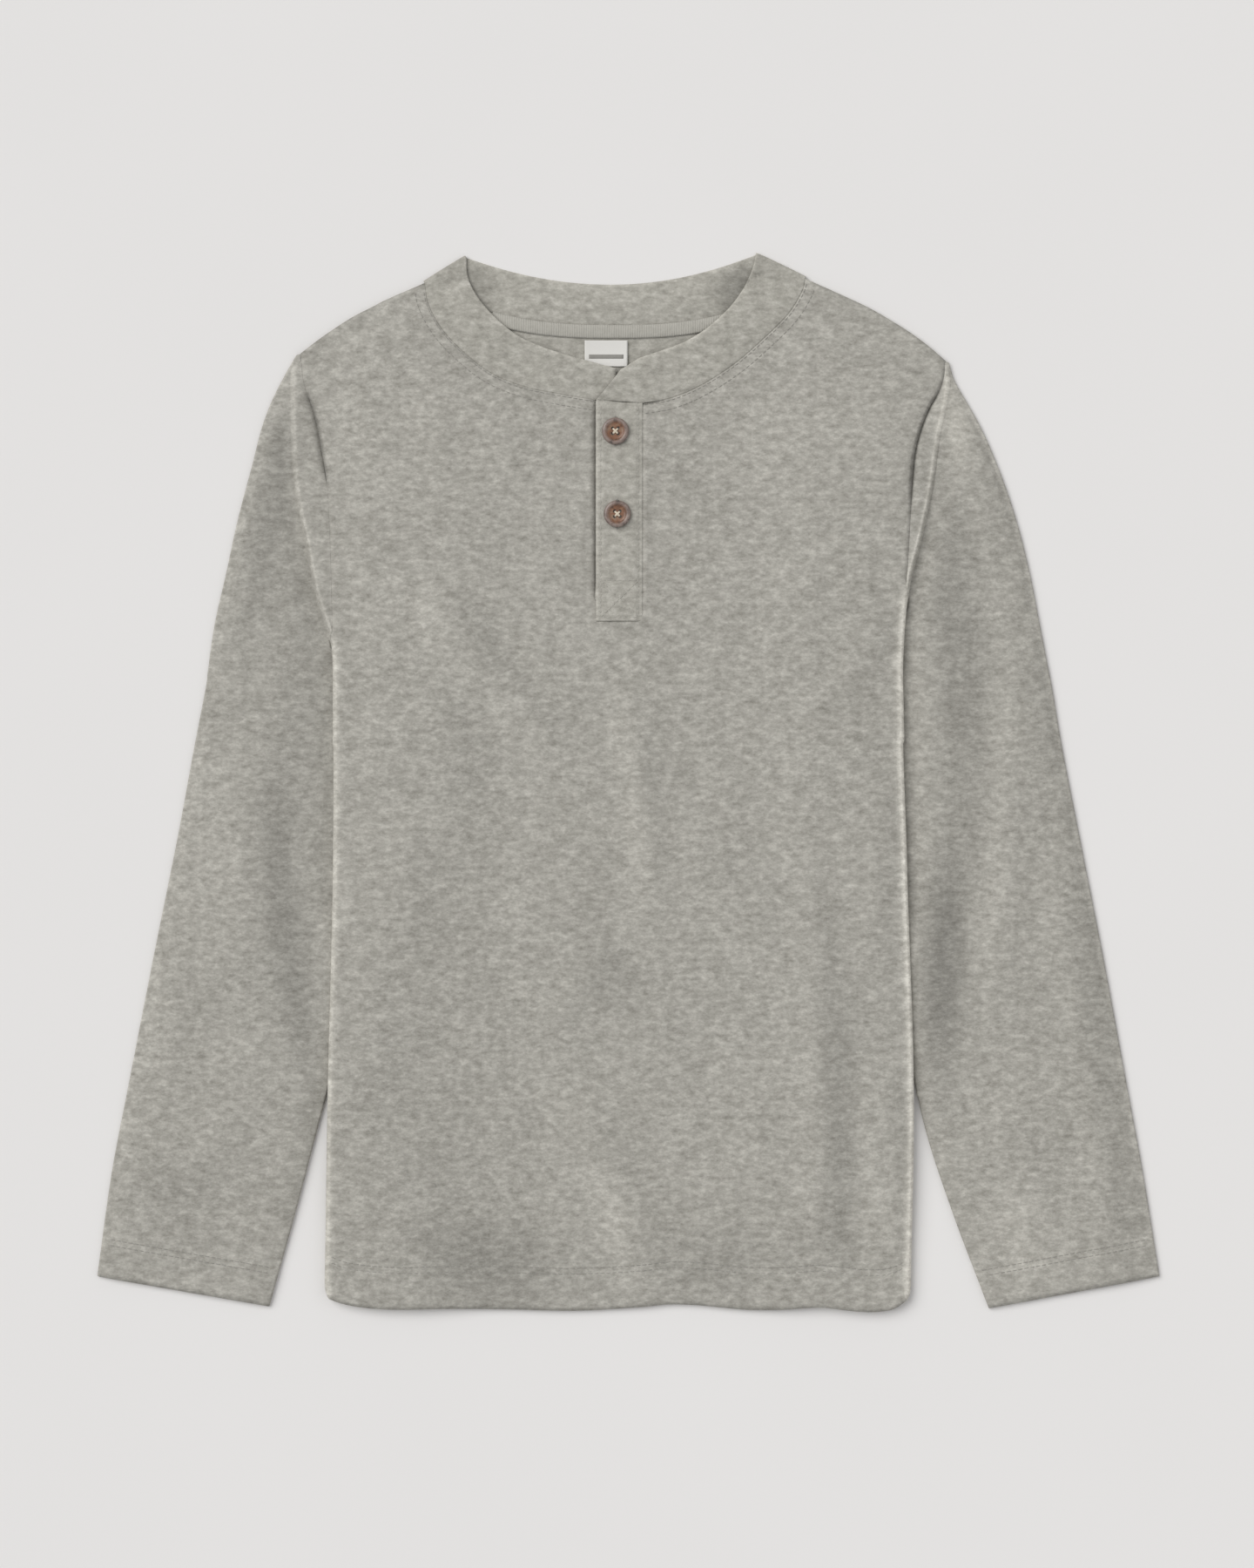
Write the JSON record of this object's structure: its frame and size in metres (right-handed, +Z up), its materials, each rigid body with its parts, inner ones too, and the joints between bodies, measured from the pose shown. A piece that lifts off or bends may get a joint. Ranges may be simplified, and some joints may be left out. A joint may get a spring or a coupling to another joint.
{
  "type": "henley shirt",
  "caption": "Child's long-sleeved henley shirt in grey heathered knit, laid flat with its sides folded under and its sleeves straight down.",
  "frame": {"origin": "middle of the shirt's box on the surface that it lies on", "axes": "+Z up from the surface, +Y towards the neck, +X towards the sleeve on the viewer's right (the wearer's left)"},
  "size_m": [0.55, 0.5472, 0.01],
  "materials": {
    "knit": "brushed heathered knit, matt",
    "tape": "cotton tape, matt",
    "label": "woven satin, soft sheen",
    "button": "horn-effect polyester, semi-gloss"
  },
  "bodies": {
    "root": {"front": "knit", "back": "knit", "sleeve_left": "knit", "sleeve_right": "knit", "neckband": "knit", "placket_upper": "knit", "placket_under": "knit", "neck_tape": "tape", "label": "label", "button_upper": "button", "button_lower": "button"}
  },
  "joints": []
}
